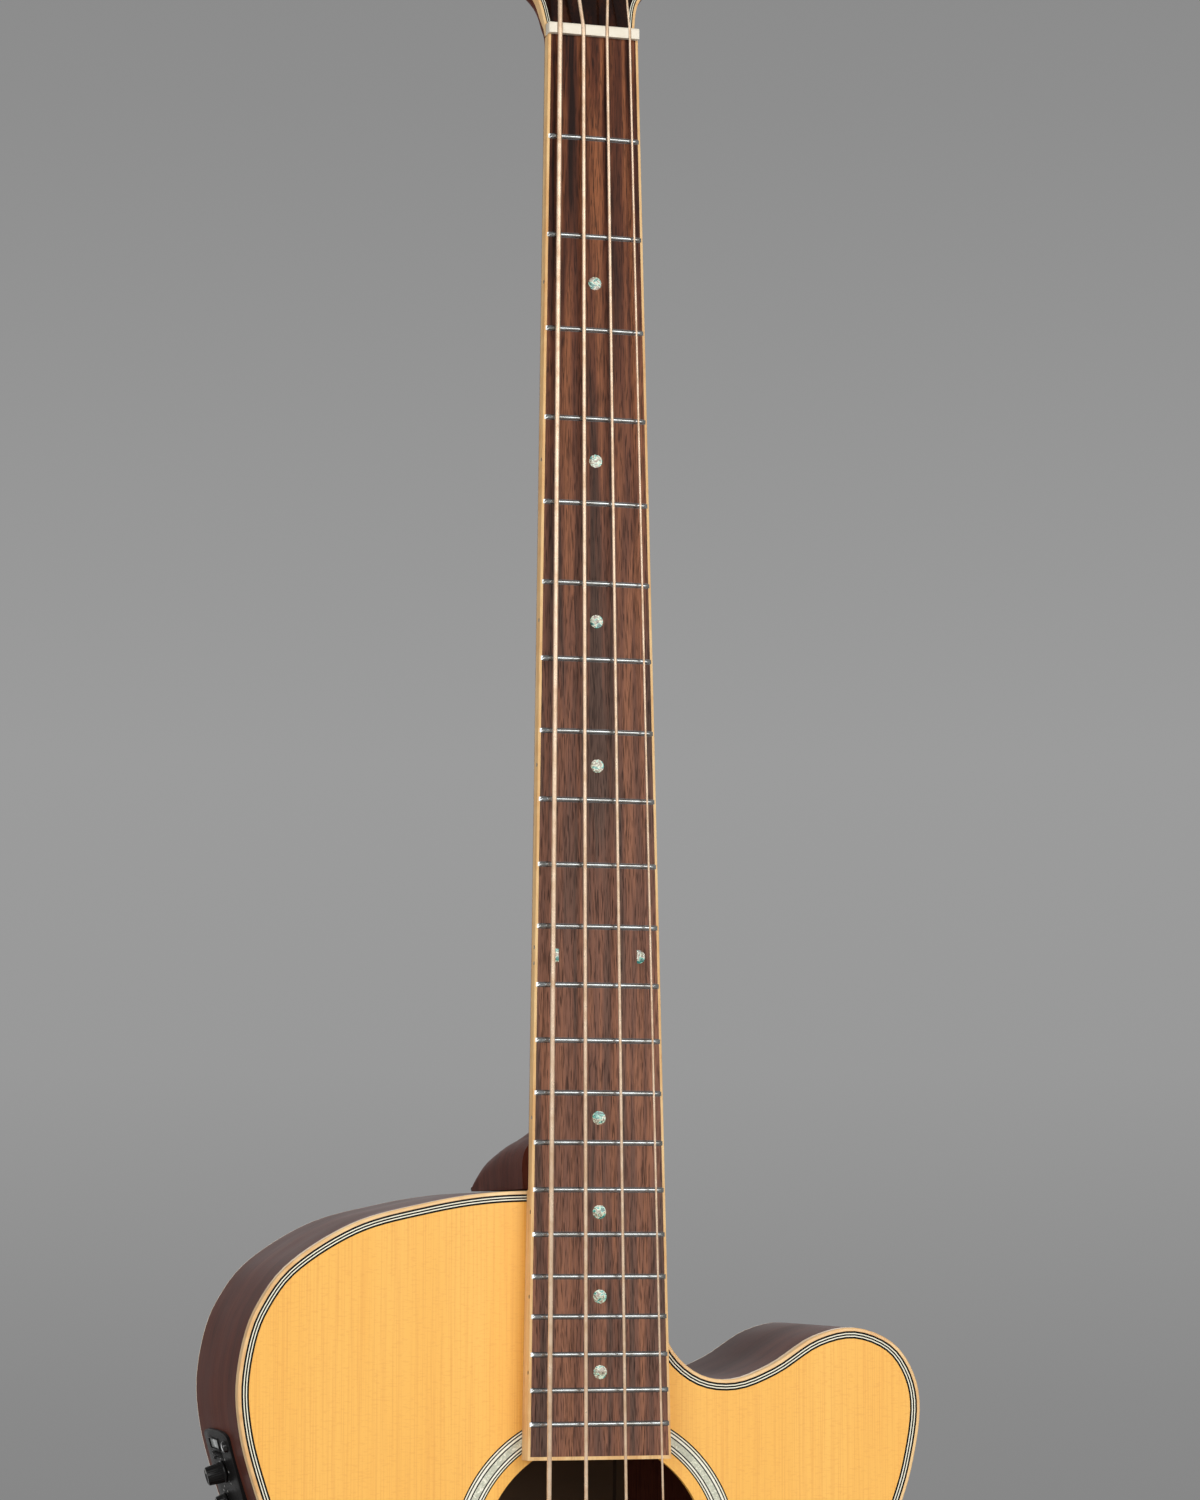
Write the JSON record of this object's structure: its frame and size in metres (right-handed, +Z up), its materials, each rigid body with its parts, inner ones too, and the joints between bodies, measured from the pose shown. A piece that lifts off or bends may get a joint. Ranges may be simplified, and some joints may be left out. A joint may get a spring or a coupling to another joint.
{
  "type": "acoustic bass guitar",
  "caption": "Fretted acoustic bass guitar with a cutaway hollow body, round soundhole, tilted head with open worm tuners, pinned bridge and a preamp panel in the bass side.",
  "frame": {"origin": "middle of the fretboard's playing surface at the front edge of the nut", "axes": "+Z up along the instrument from the tail to the head, +Y from the strings to the back, +X to the treble side"},
  "size_m": [0.4276, 0.1468, 1.2369],
  "materials": {
    "spruce": "amber varnished, satin gloss",
    "mahogany": "dark red-brown, glossy",
    "maple": "amber varnished",
    "rosewood": "oiled, open grain",
    "pearl": "pearl inlay between black and white lines",
    "ebony": "black, glossy",
    "bone": "polished bone",
    "nickel": "bright nickel",
    "bronze": "wound phosphor bronze",
    "steel": "plain steel",
    "black": "fine textured black",
    "screen": "grey display behind a clear window",
    "bracing": "bare spruce",
    "cell": "printed steel case"
  },
  "bodies": {
    "guitar": {"soundboard": "spruce", "rosette": "pearl", "top_purfling": "ebony", "heel_cap": "ebony", "head_veneer": "ebony", "top_binding": "maple", "back_binding": "maple", "bridge_plate": "maple", "fretboard_binding": "maple", "head_binding": "maple", "side_bass": "mahogany", "side_treble": "mahogany", "back_plate": "mahogany", "neck_block": "mahogany", "tail_block": "mahogany", "neck": "mahogany", "top_lining": "bracing", "back_lining": "bracing", "x_brace": "bracing", "upper_brace": "bracing", "tone_bar": "bracing", "back_brace_1": "bracing", "back_brace_2": "bracing", "back_brace_3": "bracing", "bridge": "rosewood", "fretboard": "rosewood", "saddle": "bone", "nut": "bone", "bridge_pin_e": "bone", "bridge_pin_a": "bone", "bridge_pin_d": "bone", "bridge_pin_g": "bone", "truss_rod": "steel", "truss_rod_cover": "black", "preamp_housing": "black", "string_e": "bronze", "string_a": "bronze", "string_d": "bronze", "string_g": "bronze", "tuner_base_e": "nickel", "tuner_base_a": "nickel", "tuner_base_d": "nickel", "tuner_base_g": "nickel", "endpin_jack": "nickel", "preamp_display": "screen", "battery": "cell"},
    "tuner_post_e": {"tuner_post_e": "nickel"},
    "tuner_post_a": {"tuner_post_a": "nickel"},
    "tuner_post_d": {"tuner_post_d": "nickel"},
    "tuner_post_g": {"tuner_post_g": "nickel"},
    "tuner_key_e": {"tuner_key_e": "nickel"},
    "tuner_key_a": {"tuner_key_a": "nickel"},
    "tuner_key_d": {"tuner_key_d": "nickel"},
    "tuner_key_g": {"tuner_key_g": "nickel"},
    "volume_knob": {"volume_knob": "black"},
    "bass_knob": {"bass_knob": "black"},
    "treble_knob": {"treble_knob": "black"},
    "tuner_button": {"tuner_button": "black"},
    "phase_button": {"phase_button": "black"},
    "battery_door": {"battery_door": "black"}
  },
  "joints": [
    {"name": "tuner_key_e_turn", "type": "hinge", "parent": "guitar", "child": "tuner_key_e", "pos_m": [-0.0195, 0.0389, 0.04544], "axis": [1, 0, 0], "continuous": true},
    {"name": "tuner_post_e_turn", "type": "hinge", "parent": "guitar", "child": "tuner_post_e", "pos_m": [-0.0195, 0.02281, 0.05959], "axis": [0, 0.9603, -0.279], "continuous": true},
    {"name": "tuner_key_a_turn", "type": "hinge", "parent": "guitar", "child": "tuner_key_a", "pos_m": [-0.0205, 0.05564, 0.10306], "axis": [1, 0, 0], "continuous": true},
    {"name": "tuner_post_a_turn", "type": "hinge", "parent": "guitar", "child": "tuner_post_a", "pos_m": [-0.0205, 0.03954, 0.11721], "axis": [0, 0.9603, -0.279], "continuous": true},
    {"name": "tuner_key_d_turn", "type": "hinge", "parent": "guitar", "child": "tuner_key_d", "pos_m": [0.0205, 0.05564, 0.10306], "axis": [1, 0, 0], "continuous": true},
    {"name": "tuner_post_d_turn", "type": "hinge", "parent": "guitar", "child": "tuner_post_d", "pos_m": [0.0205, 0.03954, 0.11721], "axis": [0, 0.9603, -0.279], "continuous": true},
    {"name": "tuner_key_g_turn", "type": "hinge", "parent": "guitar", "child": "tuner_key_g", "pos_m": [0.0195, 0.0389, 0.04544], "axis": [1, 0, 0], "continuous": true},
    {"name": "tuner_post_g_turn", "type": "hinge", "parent": "guitar", "child": "tuner_post_g", "pos_m": [0.0195, 0.02281, 0.05959], "axis": [0, 0.9603, -0.279], "continuous": true},
    {"name": "volume_knob_turn", "type": "hinge", "parent": "guitar", "child": "volume_knob", "pos_m": [-0.14925, 0.057, -0.64243], "axis": [-0.9632, 0, -0.2687], "range_deg": [-150, 150]},
    {"name": "bass_knob_turn", "type": "hinge", "parent": "guitar", "child": "bass_knob", "pos_m": [-0.14528, 0.0715, -0.65669], "axis": [-0.9632, 0, -0.2687], "range_deg": [-140, 140]},
    {"name": "treble_knob_turn", "type": "hinge", "parent": "guitar", "child": "treble_knob", "pos_m": [-0.14071, 0.0715, -0.67307], "axis": [-0.9632, 0, -0.2687], "range_deg": [-140, 140]},
    {"name": "tuner_button_press", "type": "slide", "parent": "guitar", "child": "tuner_button", "axis": [0.9632, 0, 0.2687], "range_m": [0, 0.0008], "stiffness_N_per_m": 300},
    {"name": "phase_button_press", "type": "slide", "parent": "guitar", "child": "phase_button", "axis": [0.9632, 0, 0.2687], "range_m": [0, 0.0008], "stiffness_N_per_m": 300},
    {"name": "battery_door_open", "type": "hinge", "parent": "guitar", "child": "battery_door", "pos_m": [-0.13271, 0.062, -0.70769], "axis": [0, -1, 0], "range_deg": [0, 95]}
  ],
  "couplings": [
    {"joint": "tuner_post_e_turn", "follows": "tuner_key_e_turn", "ratio": 0.05},
    {"joint": "tuner_post_a_turn", "follows": "tuner_key_a_turn", "ratio": 0.05},
    {"joint": "tuner_post_d_turn", "follows": "tuner_key_d_turn", "ratio": -0.05},
    {"joint": "tuner_post_g_turn", "follows": "tuner_key_g_turn", "ratio": -0.05}
  ]
}
